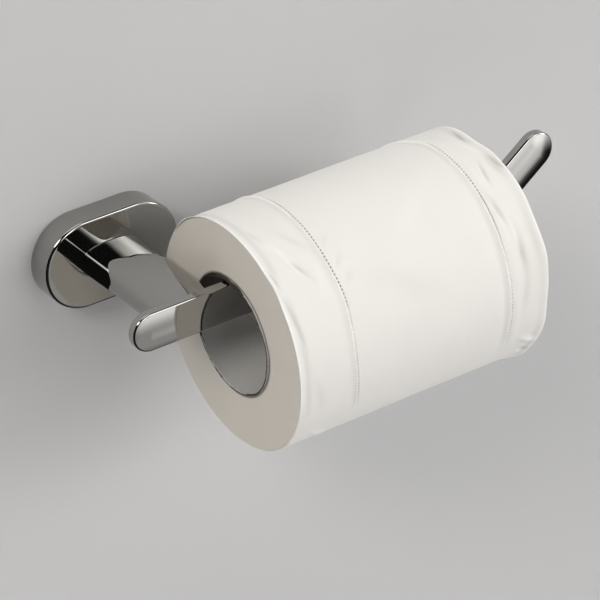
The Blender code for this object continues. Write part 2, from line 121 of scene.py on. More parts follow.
# Soft edges of the metal, as how far they run in from the outline and how far they drop, and how
# much of the bar's half height its crown takes up
COVER_EDGE = (1.3 * MM, 0.95 * MM)
COVER_RIM = 0.25 * MM
POST_EDGE = (0.2 * MM, 0.2 * MM)
POST_FOOT = (0.4 * MM, 0.4 * MM)
POST_WAIST = 0.4 * MM
BAR_FRONT_EDGE = (0.95 * MM, 0.8 * MM)
BAR_BACK_EDGE = (0.5 * MM, 0.5 * MM)
BAR_CROWN = 0.42 * MM
BAR_CROWN_REACH = 0.98

# Steps that curves are made of, the sharpest angles that shade as smooth, how close points merge,
# and how far a hole's rod runs past what it cuts
EDGE_STEPS = 10
CROWN_STEPS = 20
WAIST_STEPS = 24
ROUND_END_STEPS = 48
OVAL_STEPS = 192
BAR_END_STEPS = 40
BAR_BEND_STEPS = 28
ROD_SIDES = 48
METAL_SHARP_ANGLE = math.radians(35)
ROLL_SHARP_ANGLE = math.radians(50)
PLY_SHARP_ANGLE = math.radians(40)
MERGE_DISTANCE = 1e-7
CUT_PAST = 1 * MM

# Outer sheet of the roll, with more columns of points near its edges. An angle round the roll is in
# degrees: 0 faces the room and 90 is up.
SHEET_ROWS = 1200
SHEET_COLUMNS = 76
SHEET_THICKNESS = 0.22 * MM
SHEET_START = 232.0
SHEET_TURN = 368.0
SHEET_LEVEL = 0.35 * MM
SHEET_TUCK = 0.75 * MM
TUCK_END = (6 * MM, 30 * MM)
TAIL_LENGTH = 20 * MM
TAIL_LIFT = 0.1 * MM
BORDER_WIDTH = 15 * MM
BORDER_COLUMNS = 31
EDGE_COLUMNS = (0.2 * MM, 0.45 * MM, 0.8 * MM, 1.2 * MM)
SHEET_SWELL = 0.12 * MM

# Embossed lines: a line's share of the sheet's width, how far and between which angles that share
# shifts, a bend's share, angle and half width, the soft ends of the dashed stretch, and the painted
# shade of the plain groove elsewhere. They fade out low down and come back weaker underneath.
STITCH_LINES = (
    dict(share=0.237, shift=(-0.019, -34, 6), bend=(0.006, 34, 14), dashes=((26, 40), (86, 94)), shade=0.7),
    dict(share=0.848, shift=(-0.030, 94, 116), bend=(0, 0, 1), dashes=((50, 60), (86, 96)), shade=0.75),
)
STITCH_PITCH = 1.5 * MM
DASH_ENDS = (-0.2, 0.5)
PRESSED_START = (0, 4 * MM)
PRESSED_FRONT = (-32, -14)
PRESSED_UNDER = (-76, -60)
UNDER_STRENGTH = 0.7

# Columns of points gather round these shares of the width, where the lines wander
STITCH_SHARES = (0.210, 0.224, 0.238, 0.818, 0.848)
STITCH_COLUMNS = np.arange(-9, 10) * (0.16 * MM)

# An embossed line's relief, and a hollow and a swell beside the right line: how far each part lies
# to the right of the line, its half width and its height
STITCH_RIDGE = (-0.8 * MM, 0.5 * MM, 0.6 * MM)
STITCH_GROOVE = (0.1 * MM, 0.26 * MM, -0.55 * MM)
STITCH_TROUGH = (-0.2 * MM, 2.6 * MM, -0.15 * MM)
DASH_GAP_DEPTH = 0.4
RIGHT_HOLLOW = (-3.4 * MM, 1.7 * MM, -0.4 * MM)
RIGHT_HOLLOW_END = (30, 60)
RIGHT_SWELL = (2.2 * MM, 1.2 * MM, 0.3 * MM)

# An embossed line's painted shade and its ridge's painted highlight, in the same way: how far to
# the right, half width and strength
DASH_GAP_SHADE = 0.15
DASH_SHADE = 0.85
GROOVE_PAINTED_SHADE = (0.1 * MM, 0.32 * MM)
PLAIN_GROOVE_START = (10, 60)
ROPE_PAINTED_SHADE = (-0.3 * MM, 0.6 * MM, 0.32)
ROPE_END = (0, 16)
LEFT_SIDE_PAINTED_SHADE = (-2.3 * MM, 0.9 * MM, 0.08)
RIDGE_LIGHT = (-0.8 * MM, 0.6 * MM)

# Soft creases in the sheet: share of its width, angle, half length, half width, height in
# millimetres, and slant in degrees from the way round the roll
CREASES = (
    (0.115, 53, 6.5, 1.0, -0.56, 26),
    (0.085, 61, 8.0, 1.3, 0.60, 20),
    (0.150, 67, 7.0, 1.2, -0.36, 30),
    (0.050, 76, 5.0, 1.0, -0.40, 14),
    (0.165, 44, 5.0, 1.0, 0.32, -12),
    (0.255, 50, 3.5, 0.9, -0.32, -30),
    (0.262, 41, 3.0, 0.9, -0.28, -34),
    (0.245, 61, 3.5, 0.9, -0.24, -28),
    (0.070, -8, 7.0, 1.6, -0.32, 12),
    (0.120, -42, 6.0, 2.0, 0.60, 40),
    (0.912, 65, 5.0, 0.8, -0.60, -10),
    (0.930, 84, 5.0, 1.2, 0.44, 24),
    (0.880, 45, 6.5, 1.0, -0.76, 10),
    (0.900, 34, 7.0, 1.1, 0.40, 8),
    (0.914, 22, 8.5, 1.3, -0.84, 0),
    (0.905, 2, 7.0, 1.5, -0.40, -6),
    (0.950, -30, 5.0, 1.4, 0.90, 55),
    (0.965, -42, 4.0, 1.0, -0.80, 50),
    (0.450, 30, 16.0, 5.0, -0.20, 60),
    (0.600, 62, 14.0, 4.0, 0.18, -50),
)
# Painted shade in the creases' dips and a painted highlight on their crests: strength, and the depth or
# height at which each is full
DIP_SHADE = 0.14
DIP_DEPTH = 0.6 * MM
CREST_LIGHT = 0.5
CREST_HEIGHT = 0.5 * MM

# Narrow folds in the sheet: share of its width and angle at both ends, half width in millimetres
# and shade, which both dents the sheet and paints its shadow
FOLDS = (
    (0.982, 106, 0.968, 88, 0.7, 0.26),
    (0.976, 76, 0.992, 61, 0.9, 0.26),
    (0.095, 59, 0.134, 47, 0.5, 0.16),
    (0.918, 72, 0.905, 58, 0.5, 0.10),
    (0.873, 51, 0.886, 39, 0.6, 0.10),
    (0.914, 29, 0.914, 15, 0.8, 0.12),
    (0.010, 47, 0.041, 15, 0.9, 0.18),
    (0.012, 58, 0.022, 45, 0.5, 0.30),
)
FOLD_DEPTH = 0.8 * MM
FOLD_END_WIDTH = 0.4

# How the loose right edge stands off the roll, and the valleys just inside it, as rows of height in
# millimetres, angle and half width. Then how far a valley and a painted shade lie from the edge, with
# their half width and the shade's strength, and how far from the edge its painted highlight starts
# and becomes full.
RIM_WAVES = (
    (-1.9, 88, 13), (-0.5, 66, 8), (-0.4, 37, 7), (1.0, 18, 8),
    (-0.6, -7, 8), (0.5, -25, 10), (1.4, -55, 15), (0.6, -120, 14),
)
RIM_VALLEYS = ((-0.9, 97, 9), (-0.8, 69, 7), (-0.4, 28, 12), (-0.4, -35, 12))
RIM_LOOSE_WIDTH = 14 * MM
RIM_VALLEY = (-3.6 * MM, 1.9 * MM)
RIM_PAINTED_SHADE = (-2.6 * MM, 1.5 * MM, 0.06)
RIM_LIGHT = (1.0 * MM, 0.4 * MM)

# Left edge: the soft ends of the stretches where it stands up as a lip and where it lies flush, and
# in millimetres how far it rises and reaches out, or drops and is inset. The trough and the painted
# shade inside it have a distance from the edge, a half width and a depth or strength. The lip's
# painted highlight fades out between two distances from the edge.
LIP_STRETCHES = (((48, 57), (118, 140)), ((-26, -4), (36, 47)))
FLUSH_UNDER = (-50, -24)
FLUSH_BEHIND = (128, 150)
LIP_WIDTH = 1.5 * MM
LIP_RISE = 0.3
LIP_REACH = 0.5
FLUSH_DROP = 0.3
FLUSH_INSET = 0.7
LIP_TROUGH = (2.9 * MM, 1.4 * MM, 0.45 * MM)
LIP_PAINTED_SHADE = (2.9 * MM, 1.2 * MM, 0.12)
LIP_LIGHT = (0.2 * MM, 0.9 * MM)

# Wound paper under the outer sheet. The hollow in each end face is a share of the way out from the
# bore, a half width in the same share, and a depth. The outside tapers near its right end.
WINDING_ROWS = 360
WINDING_RINGS = 70
WINDING_COLUMNS = 20
WINDING_PITCH = 0.62 * MM
WINDING_RELIEF = 0.03 * MM
FACE_SWELLS = (0.10 * MM, 0.07 * MM)
FACE_HOLLOW = (0.12, 0.16, 0.3 * MM)
FACE_ROUND_START = 0.95
FACE_ROUND = 0.5 * MM
LEFT_FACE_INSET = 0.35 * MM
RIGHT_FACE_INSET = 0.45 * MM
LEFT_RIM_DROP = 0.6 * MM
RIGHT_RIM_DROP = 3.6 * MM
SHOULDER_ENDS = (1.1 * MM, 2.6 * MM)
OUTSIDE_ENDS = (5 * MM, 6 * MM)
OUTSIDE_DROP = 1.7 * MM
TAPER = 1.0 * MM
TAPER_START = 0.8
BORE_COLUMNS = 12
# Painted shade on the end faces round the bore: its strength, and where it starts and ends fading
BORE_SHADE = 0.9
BORE_SHADE_WIDTH = (0.4 * MM, 1.1 * MM)

# Core, and the seam of its strip of board
CORE_GAP = 0.3 * MM
CORE_WALL = 0.6 * MM
CORE_PROUD = 0.45 * MM
CORE_ROWS = 256
CORE_COLUMNS = 40
CORE_CUT = 0.5 * MM
CORE_RAGGED = (0.14 * MM, 0.06 * MM)
CORE_SWELL = 0.13 * MM
CORE_SWELL_LENGTH = 6 * MM
SEAM_PITCH = 82.0 * MM
SEAM_SHARE = 0.007
SEAM_SHADE = 0.8

# Loose plies of the core's left rim. Angles are the first and last, and a wave is its height, its
# half waves and the power that sharpens them. Lengths are in millimetres: how far a ply lifts off
# the bore and stands out, its width and how ragged its end is.
PLY_THICKNESS = 0.16 * MM
PLY_STEPS = 90
PLY_END_WIDTH = 0.15
TORN_PLIES = (
    dict(name="torn_lining", angles=(92, 176), lift=-0.05, wave=(0, 1, 1), proud=0.4, width=16),
    dict(name="loose_ply_1", angles=(66, 148), lift=0.1, wave=(1.0, 1, 1), proud=1.1, width=0.8),
    dict(name="loose_ply_2", angles=(74, 158), lift=0, wave=(0.45, 2.4, 2), proud=1.3, width=0.9),
    dict(name="loose_ply_3", angles=(52, 120), lift=0.2, wave=(0.7, 1.6, 2), proud=0.9, width=0.7),
)
INNER_PLY = dict(
    name="inner_ply", angles=(206, 292), lift=-0.05, wave=(0, 1, 1), proud=0.55, width=0.6, ragged=0.12
)


def smooth(low, high, value):
    """0 below low, 1 above high and an even curve between."""
    t = np.clip((value - low) / (high - low), 0.0, 1.0)
    return t * t * (3 - 2 * t)


def hump(centre, width, value):
    """A bell of height 1."""
    return np.exp(-(((value - centre) / width) ** 2))


# Camera, stage and lights


def make_camera():
    data = bpy.data.cameras.new("camera")
    data.lens = CAMERA_LENS
    data.clip_start = 0.05
    data.clip_end = 60.0
    camera = bpy.data.objects.new("camera", data)
    bpy.context.scene.collection.objects.link(camera)
    level = math.cos(CAMERA_ELEVATION)
    x, y = math.sin(CAMERA_AZIMUTH) * level, -math.cos(CAMERA_AZIMUTH) * level
    back = Vector((x, y, math.sin(CAMERA_ELEVATION)))
    camera.location = CAMERA_TARGET + back * CAMERA_DISTANCE
    camera.rotation_mode = "QUATERNION"
    turn = Quaternion((0, 0, 1), CAMERA_ROLL)
    camera.rotation_quaternion = (-back).to_track_quat("-Z", "Y") @ turn
    bpy.context.scene.camera = camera
    bpy.context.scene.view_settings.view_transform = "Standard"


def make_plane(name, corners, faces, material):
    mesh = bpy.data.meshes.new(name)
    mesh.from_pydata(corners, [], faces)
    plane = bpy.data.objects.new(name, mesh)
    bpy.context.scene.collection.objects.link(plane)
    mesh.materials.append(material)
    return plane


def make_stage():
    """A plain pale wall and floor. Each shows from its front only, so neither hides the object, and
    the wall is open behind the base cover, so the fixings are lit when seen from behind."""
    material = bpy.data.materials.new("pale_stage")
    material.use_nodes = True
    nodes, links = material.node_tree.nodes, material.node_tree.links
    shader = nodes["Principled BSDF"]
    shader.inputs["Base Color"].default_value = STAGE_GREY
    shader.inputs["Roughness"].default_value = 0.9
    shader.inputs["Specular IOR Level"].default_value = 0.1
    clear = nodes.new("ShaderNodeBsdfTransparent")
    mix = nodes.new("ShaderNodeMixShader")
    links.new(nodes.new("ShaderNodeNewGeometry").outputs["Backfacing"], mix.inputs["Fac"])
    links.new(shader.outputs["BSDF"], mix.inputs[1])
    links.new(clear.outputs["BSDF"], mix.inputs[2])
    links.new(mix.outputs["Shader"], nodes["Material Output"].inputs["Surface"])
    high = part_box("base_cover")[1]
    inset = COVER_WALL / 2
    opening = stadium(high.x - inset, high.z - inset)
    count = len(opening)
    wall = [(scale * x, 0, scale * z) for scale in (1, WALL_SPREAD) for x, z in opening]
    around = [(i, count + i, count + (i + 1) % count, (i + 1) % count) for i in range(count)]
    make_plane("stage_wall", wall, around, material)
    side = FLOOR_HALF_WIDTH
    ground = [(x, y, FLOOR_Z) for x, y in ((-side, -side), (side, -side), (side, side), (-side, side))]
    make_plane("stage_floor", ground, [(0, 1, 2, 3)], material).visible_glossy = False


def make_key_light():
    """A square light that faces the object."""
    data = bpy.data.lights.new("key_light", "AREA")
    data.shape = "RECTANGLE"
    data.size, data.size_y = KEY_SIZE, KEY_SIZE
    data.energy = KEY_RADIANCE * math.pi * KEY_SIZE * KEY_SIZE
    data.color = NEUTRAL
    light = bpy.data.objects.new("key_light", data)
    bpy.context.scene.collection.objects.link(light)
    light.location = KEY_PLACE
    light.rotation_mode = "QUATERNION"
    light.rotation_quaternion = (CAMERA_TARGET - Vector(KEY_PLACE)).to_track_quat("-Z", "Y")
    light.visible_camera = False


def calculate(tree, operation, *values):
    """A maths node on numbers and sockets."""
    node = tree.nodes.new("ShaderNodeMath")
    node.operation = operation
    for socket, value in zip(node.inputs, values):
        if isinstance(value, (int, float)):
            socket.default_value = value
        else:
            tree.links.new(value, socket)
    return node.outputs["Value"]


def fade(tree, value, start, end):
    """0 before start, 1 after end and an even curve between. The ends are in degrees."""
    node = tree.nodes.new("ShaderNodeMapRange")
    node.interpolation_type = "SMOOTHSTEP"
    tree.links.new(value, node.inputs["Value"])
    node.inputs["From Min"].default_value = math.radians(start)
    node.inputs["From Max"].default_value = math.radians(end)
    return node.outputs["Result"]


def make_world():
    """A dim room with soft boxes all round."""
    world = bpy.data.worlds.new("studio")
    bpy.context.scene.world = world
    world.use_nodes = True
    tree = world.node_tree
    split = tree.nodes.new("ShaderNodeSeparateXYZ")
    tree.links.new(tree.nodes.new("ShaderNodeTexCoord").outputs["Generated"], split.inputs["Vector"])
    outwards = calculate(tree, "MULTIPLY", split.outputs["Y"], -1.0)
    azimuth = calculate(tree, "ARCTAN2", split.outputs["X"], outwards)
    elevation = calculate(tree, "ARCSINE", split.outputs["Z"])
    totals = [WORLD_BASE] * 3
    for box in SOFT_BOXES:
        left, right = box["azimuth"]
        bottom, top = box["elevation"]
        side_fade, bottom_fade, top_fade = box["fades"]
        strength = box["radiance"]
        for value, start, end in (
            (azimuth, left, left + side_fade),
            (azimuth, right, right - side_fade),
            (elevation, bottom, bottom + bottom_fade),
            (elevation, top, top - top_fade),
        ):
            strength = calculate(tree, "MULTIPLY", fade(tree, value, start, end), strength)
        for index, share in enumerate(box.get("colour", NEUTRAL)):
            totals[index] = calculate(tree, "MULTIPLY_ADD", strength, share, totals[index])
    colour = tree.nodes.new("ShaderNodeCombineXYZ")
    for socket, total in zip(colour.inputs, totals):
        tree.links.new(total, socket)
    tree.links.new(colour.outputs["Vector"], tree.nodes["Background"].inputs["Color"])


# Materials


class Nodes:
    """A material's node tree, with short ways to add and join nodes."""

    def __init__(self, name):
        self.material = bpy.data.materials.new(name)
        self.material.use_nodes = True
        self.nodes = self.material.node_tree.nodes
        self.links = self.material.node_tree.links
        self.shader = self.nodes["Principled BSDF"]

    def set(self, **values):
        for key, value in values.items():
            self.shader.inputs[key.replace("_", " ")].default_value = value

    def add(self, kind, **values):
        node = self.nodes.new("ShaderNode" + kind)
        for key, value in values.items():
            if hasattr(node, key):
                setattr(node, key, value)
            else:
                node.inputs[key.replace("_", " ")].default_value = value
        return node

    def coordinates(self, output="Object", scale=(1, 1, 1)):
        mapping = self.add("Mapping", Scale=scale)
        self.links.new(self.add("TexCoord").outputs[output], mapping.inputs["Vector"])
        return mapping.outputs["Vector"]

    def noise(self, vector, scale, detail, roughness=0.5):
        node = self.add("TexNoise", Scale=scale, Detail=detail, Roughness=roughness)
        self.links.new(vector, node.inputs["Vector"])
        return node.outputs["Fac"]

    def ramp(self, value, low, high):
        """Turns a noise, which is mostly between 0.3 and 0.7, into a number from low to high."""
        node = self.add("MapRange", From_Min=0.3, From_Max=0.7, To_Min=low, To_Max=high)
        self.links.new(value, node.inputs["Value"])
        return node.outputs["Result"]

    def blend(self, value, low, high):
        """A colour between two, by a 0 to 1 value. Each is a colour or a socket."""
        node = self.add("Mix", data_type="RGBA")
        sockets = [socket for socket in node.inputs if socket.type == "RGBA"]
        for socket, colour in zip(sockets, (low, high)):
            if isinstance(colour, tuple):
                socket.default_value = (*colour, 1)
            else:
                self.links.new(colour, socket)
        self.links.new(value, node.inputs["Factor"])
        return [socket for socket in node.outputs if socket.type == "RGBA"][0]

    def bump(self, height, strength, depth):
        node = self.add("Bump", Strength=strength, Distance=depth)
        self.links.new(height, node.inputs["Height"])
        return node.outputs["Normal"]

    def finish(self, cloud, dark, light, roughness, grain, strength, depth):
        """Joins a cloudy noise to the colour and roughness, and a fine one to the relief."""
        self.connect(self.blend(cloud, dark, light), "Base Color")
        self.connect(self.ramp(cloud, *roughness), "Roughness")
        self.connect(self.bump(grain, strength, depth), "Normal")

    def attribute(self, name):
        return self.add("Attribute", attribute_name=name).outputs["Fac"]

    def connect(self, output, name):
        self.links.new(output, self.shader.inputs[name])


def polished_metal():
    """Mirror finish, with faint wiping marks and fine scratches."""
    tree = Nodes("polished_metal")
    tree.set(Metallic=1.0)
    haze = tree.noise(tree.coordinates(), scale=45, detail=4)
    scratches = tree.noise(tree.coordinates(scale=(90, 90, 2600)), scale=1, detail=2)
    dark, light = (0.395, 0.39, 0.377), (0.42, 0.415, 0.402)
    tree.finish(haze, dark, light, (0.02, 0.05), scratches, strength=0.006, depth=0.2 * MM)
    return tree.material


def plated_steel():
    """Satin zinc plating, cloudy and a little bluish."""
    tree = Nodes("plated_steel")
    tree.set(Metallic=1.0)
    place = tree.coordinates()
    cloud = tree.noise(place, scale=180, detail=5)
    grain = tree.noise(place, scale=2500, detail=2)
    dark, light = (0.55, 0.56, 0.58), (0.70, 0.70, 0.69)
    tree.finish(cloud, dark, light, (0.26, 0.42), grain, strength=0.08, depth=0.2 * MM)
    return tree.material


def dark_steel():
    """Blackened steel, lighter where it is rubbed."""
    tree = Nodes("dark_steel")
    tree.set(Metallic=1.0)
    place = tree.coordinates()
    wear = tree.noise(place, scale=700, detail=5)
    grain = tree.noise(place, scale=3000, detail=2)
    dark, light = (0.10, 0.10, 0.105), (0.24, 0.24, 0.245)
    tree.finish(wear, dark, light, (0.32, 0.5), grain, strength=0.06, depth=0.2 * MM)
    return tree.material


def anchor_nylon():
    """Moulded grey nylon."""
    tree = Nodes("anchor_nylon")
    tree.set(Specular_IOR_Level=0.4)
    place = tree.coordinates()
    cloud = tree.noise(place, scale=260, detail=4)
    grain = tree.noise(place, scale=4200, detail=3)
    dark, light = (0.50, 0.51, 0.52), (0.60, 0.61, 0.61)
    tree.finish(cloud, dark, light, (0.42, 0.56), grain, strength=0.15, depth=0.1 * MM)
    return tree.material


def cardboard(name, dark, light):
    """Board with fibres that run round the tube, and the seam where its strip is wound on itself."""
    tree = Nodes(name)
    tree.set(Specular_IOR_Level=0.2, Roughness=0.85)
    flecks = tree.noise(tree.coordinates("UV", scale=(1400, 350, 1)), scale=1, detail=5)
    place = tree.add("SeparateXYZ")
    tree.links.new(tree.add("TexCoord").outputs["UV"], place.inputs["Vector"])
    turns = calculate(tree, "MULTIPLY", place.outputs["Y"], 1 / (2 * math.pi * CORE_OUTER))
    winding = calculate(tree, "MULTIPLY_ADD", place.outputs["X"], 1 / SEAM_PITCH, turns)
    seam = calculate(tree, "LESS_THAN", calculate(tree, "FRACT", winding), SEAM_SHARE)
    board = tree.blend(flecks, dark, light)
    tree.connect(tree.blend(seam, board, tuple(SEAM_SHADE * part for part in dark)), "Base Color")
    tree.connect(tree.bump(flecks, strength=0.25, depth=0.2 * MM), "Normal")
    return tree.material


def tissue(name, across, along, dark, light):
    """Soft crepe: fine ridges one way, fibres the other, and faint changes of white. The mesh's
    attributes give each point its painted shade and its painted highlight."""
    tree = Nodes(name)
    tree.set(Roughness=0.95, Specular_IOR_Level=0.12, Sheen_Weight=0.1, Sheen_Roughness=0.6)
    crepe = tree.noise(tree.coordinates("UV", scale=(across, along, 1)), scale=1, detail=4, roughness=0.6)
    cloud = tree.noise(tree.coordinates("UV", scale=(60, 60, 1)), scale=1, detail=3)
    paper = tree.blend(cloud, dark, light)
    # Painted highlights lighten the paper and painted shade darkens it, as the mesh's attributes say
    paper = tree.blend(tree.attribute("painted_highlight"), paper, HIGHLIGHT_TISSUE)
    tree.connect(tree.blend(tree.attribute("hole"), paper, PAINTED_SHADE_TISSUE), "Base Color")
    tree.connect(tree.bump(crepe, strength=0.18, depth=0.3 * MM), "Normal")
    return tree.material


# Outlines


def arc(centre_x, centre_z, radius, start, end, steps):
    """Points round a centre, from one angle in radians to another."""
    angles = [start + (end - start) * step / steps for step in range(steps + 1)]
    return [(centre_x + radius * math.cos(a), centre_z + radius * math.sin(a)) for a in angles]


def stadium(half_length, half_height):
    """Two half circles with straight sides between them."""
    centre = half_length - half_height
    right = arc(centre, 0, half_height, -math.pi / 2, math.pi / 2, ROUND_END_STEPS)
    left = arc(-centre, 0, half_height, math.pi / 2, 3 * math.pi / 2, ROUND_END_STEPS)
    return right + left


def oval(half_width, half_height):
    """A superellipse, a little fuller than an ellipse."""
    points = []
    for step in range(OVAL_STEPS):
        angle = 2 * math.pi * step / OVAL_STEPS
        cosine, sine = math.cos(angle), math.sin(angle)
        x = half_width * math.copysign(abs(cosine) ** (2 / POST_POWER), cosine)
        z = half_height * math.copysign(abs(sine) ** (2 / POST_POWER), sine)
        points.append((x, z))
    return points


def bar_outline(left, inset):
    """The bar from the front: a round left end, a straight run, a bend and a round tip."""
    half = BAR_HALF_HEIGHT - inset
    bend_x = BAR_KNEE_X - BAR_KNEE_RADIUS * math.tan(BAR_RISE / 2)
    bend_z = BAR_MIDDLE_Z + BAR_KNEE_RADIUS
    tip_x = BAR_KNEE_X + BAR_TIP_LENGTH * math.cos(BAR_RISE)
    tip_z = BAR_MIDDLE_Z + BAR_TIP_LENGTH * math.sin(BAR_RISE)
    up, down = math.pi / 2, -math.pi / 2
    turned = down + BAR_RISE
    points = arc(left + BAR_HALF_HEIGHT, BAR_MIDDLE_Z, half, up, up + math.pi, BAR_END_STEPS)
    points += arc(bend_x, bend_z, BAR_KNEE_RADIUS + half, down, turned, BAR_BEND_STEPS)
    points += arc(tip_x, tip_z, half, turned, turned + math.pi, BAR_END_STEPS)
    points += arc(bend_x, bend_z, BAR_KNEE_RADIUS - half, turned, down, BAR_BEND_STEPS)
    return points


# Shapes


def new_object(name, mesh):
    item = bpy.data.objects.new(name, mesh)
    bpy.context.scene.collection.objects.link(item)
    return item


def finish_metal(item, material):
    item.data.shade_smooth()
    item.data.set_sharp_from_angle(angle=METAL_SHARP_ANGLE)
    item.data.materials.clear()
    item.data.materials.append(material)
    weighted = item.modifiers.new("weighted_normals", "WEIGHTED_NORMAL")
    weighted.keep_sharp = True
    weighted.weight = 100


def loft(name, rings, closed=False):
    """Quads between rings of (x, y, z) points. The first and last rings are capped, or joined to
    each other when closed."""
    bm = bmesh.new()
    made = [[bm.verts.new(point) for point in ring] for ring in rings]
    count = len(made[0])
    pairs = list(zip(made, made[1:]))
    if closed:
        pairs.append((made[-1], made[0]))
    else:
        bm.faces.new(made[0])
        bm.faces.new(made[-1])
    for first, second in pairs:
        for index in range(count):
            after = (index + 1) % count
            bm.faces.new((first[index], first[after], second[after], second[index]))
    bmesh.ops.remove_doubles(bm, verts=bm.verts, dist=MERGE_DISTANCE)
    bmesh.ops.recalc_face_normals(bm, faces=bm.faces)
    mesh = bpy.data.meshes.new(name)
    bm.to_mesh(mesh)
    bm.free()
    return new_object(name, mesh)


def edge_steps(edge):
    """(inset, drop) pairs along a soft edge, from the side of a piece to its face."""
    run, drop = edge
    pairs = []
    for step in range(EDGE_STEPS + 1):
        turn = math.pi / 2 * step / EDGE_STEPS
        pairs.append((run * (1 - math.cos(turn)), drop * (1 - math.sin(turn))))
    return pairs


def back_levels(edge, back):
    """(inset, depth) pairs of a piece's soft back edge, from its back to its side."""
    return [(inset, back + drop) for inset, drop in reversed(edge_steps(edge))]


def front_levels(steps, front):
    """(inset, depth) pairs of a piece's front, from its (inset, drop) pairs."""
    return [(inset, front - drop) for inset, drop in steps]


def at_depth(outline, depth):
    return [(x, -depth, z) for x, z in outline]


def block(name, low, high):
    """A box between two corners."""
    bm = bmesh.new()
    bmesh.ops.create_cube(bm, size=1.0)
    for vertex in bm.verts:
        vertex.co = [low[i] if vertex.co[i] < 0 else high[i] for i in range(3)]
    mesh = bpy.data.meshes.new(name)
    bm.to_mesh(mesh)
    bm.free()
    return new_object(name, mesh)


def rod(name, radius, start, end):
    """A round bar between two points."""
    start, end = Vector(start), Vector(end)
    turn = (end - start).to_track_quat("Z", "Y")
    circle = arc(0, 0, radius, 0, 2 * math.pi * (1 - 1 / ROD_SIDES), ROD_SIDES - 1)
    return loft(name, [[point + turn @ Vector((u, v, 0)) for u, v in circle] for point in (start, end)])


def apply_booleans(item, steps):
    """Joins or cuts a piece with each tool in turn, and removes the tools."""
    for tool, operation in steps:
        modifier = item.modifiers.new(tool.name, "BOOLEAN")
        modifier.object = tool
        modifier.operation = operation
        modifier.solver = "EXACT"
    graph = bpy.context.evaluated_depsgraph_get()
    mesh = bpy.data.meshes.new_from_object(item.evaluated_get(graph))
    item.modifiers.clear()
    item.data = mesh
    for tool, _ in steps:
        bpy.data.objects.remove(tool)


# Metal pieces


def make_cover(material):
    """The cup against the wall: its shell, then its hook, spigot, boss and holes."""
    low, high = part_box("base_cover")
    half_length, half_height = high.x, high.z
    depth = -low.y - SPIGOT_LENGTH
    inside = depth - COVER_WALL
    levels = [
        (COVER_WALL + COVER_RIM, inside),
        (COVER_WALL, inside - COVER_RIM),
        (COVER_WALL, COVER_RIM),
        (COVER_WALL - COVER_RIM, 0),
        (COVER_RIM, 0),
        (0, COVER_RIM),
    ]
    levels += front_levels(edge_steps(COVER_EDGE), depth)
    outlines = [(stadium(half_length - inset, half_height - inset), level) for inset, level in levels]
    cover = loft("cover_shell", [at_depth(*pair) for pair in outlines])

    post_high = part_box("post")[1]
    fit = POST_WALL + SPIGOT_GAP
    spigot_outline = oval(post_high.x - fit, post_high.z - fit)
    spigot_ends = (inside + COVER_WALL / 2, depth + SPIGOT_LENGTH)
    spigot = loft("spigot", [at_depth(spigot_outline, end) for end in spigot_ends])
    screw_low, screw_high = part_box("set_screw")
    screw_y = (screw_low.y + screw_high.y) / 2
    wall_middle = half_height - COVER_WALL / 2
    hook_back, hook_front = HOOK_DEPTHS
    hook_low = (-HOOK_HALF_WIDTH, -hook_front, HOOK_Z)
    boss_low = (-BOSS_HALF_WIDTH, screw_y - BOSS_HALF_WIDTH, -wall_middle)
    bolt_ends = ((0, CUT_PAST - inside, 0), (0, low.y - CUT_PAST, 0))
    screw_ends = ((0, screw_y, low.z - CUT_PAST), (0, screw_y, BOSS_TOP + CUT_PAST))
    steps = (
        (block("hook", hook_low, (HOOK_HALF_WIDTH, -hook_back, wall_middle)), "UNION"),
        (block("boss", boss_low, (BOSS_HALF_WIDTH, screw_y + BOSS_BACK, BOSS_TOP)), "UNION"),
        (spigot, "UNION"),
        (rod("bolt_hole", HOLE_RADIUS, *bolt_ends), "DIFFERENCE"),
        (rod("screw_hole", HOLE_RADIUS, *screw_ends), "DIFFERENCE"),
    )
    apply_booleans(cover, steps)
    finish_metal(cover, material)
    return cover


def make_post(material):
    """The oval tube between the cover's face and the bar's back, with a very slight waist."""
    post_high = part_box("post")[1]
    back = -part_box("base_cover")[0].y - SPIGOT_LENGTH
    front = -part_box("roll_bar")[1].y
    levels = back_levels(POST_FOOT, back)
    foot, edge = POST_FOOT[1], POST_EDGE[1]
    length = front - edge - back - foot
    for step in range(1, WAIST_STEPS):
        share = step / WAIST_STEPS
        levels.append((POST_WAIST * 4 * share * (1 - share), back + foot + length * share))
    levels += front_levels(edge_steps(POST_EDGE), front)
    levels += [(POST_WALL, front), (POST_WALL, back)]
    outlines = [(oval(post_high.x - inset, post_high.z - inset), depth) for inset, depth in levels]
    post = loft("post_tube", [at_depth(*pair) for pair in outlines], closed=True)
    finish_metal(post, material)
    return post


def crown_steps():
    """(inset, drop) pairs of the bar's front: a soft edge, then a slight crown up to its middle."""
    pairs = [(inset, drop + BAR_CROWN) for inset, drop in edge_steps(BAR_FRONT_EDGE)]
    run = BAR_FRONT_EDGE[0]
    reach = BAR_CROWN_REACH * BAR_HALF_HEIGHT - run
    for step in range(1, CROWN_STEPS + 1):
        share = step / CROWN_STEPS
        pairs.append((run + reach * share, BAR_CROWN * (1 - share) ** 2))
    return pairs


def make_bar(material):
    """The flat blade, with a crowned front."""
    low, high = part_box("roll_bar")
    levels = back_levels(BAR_BACK_EDGE, -high.y) + front_levels(crown_steps(), -low.y)
    bar = loft("bar_blade", [at_depth(bar_outline(low.x, inset), depth) for inset, depth in levels])
    finish_metal(bar, material)
    return bar


# Roll


def roll_axis():
    low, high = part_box("paper_roll")
    return (low.y + high.y) / 2, (low.z + high.z) / 2


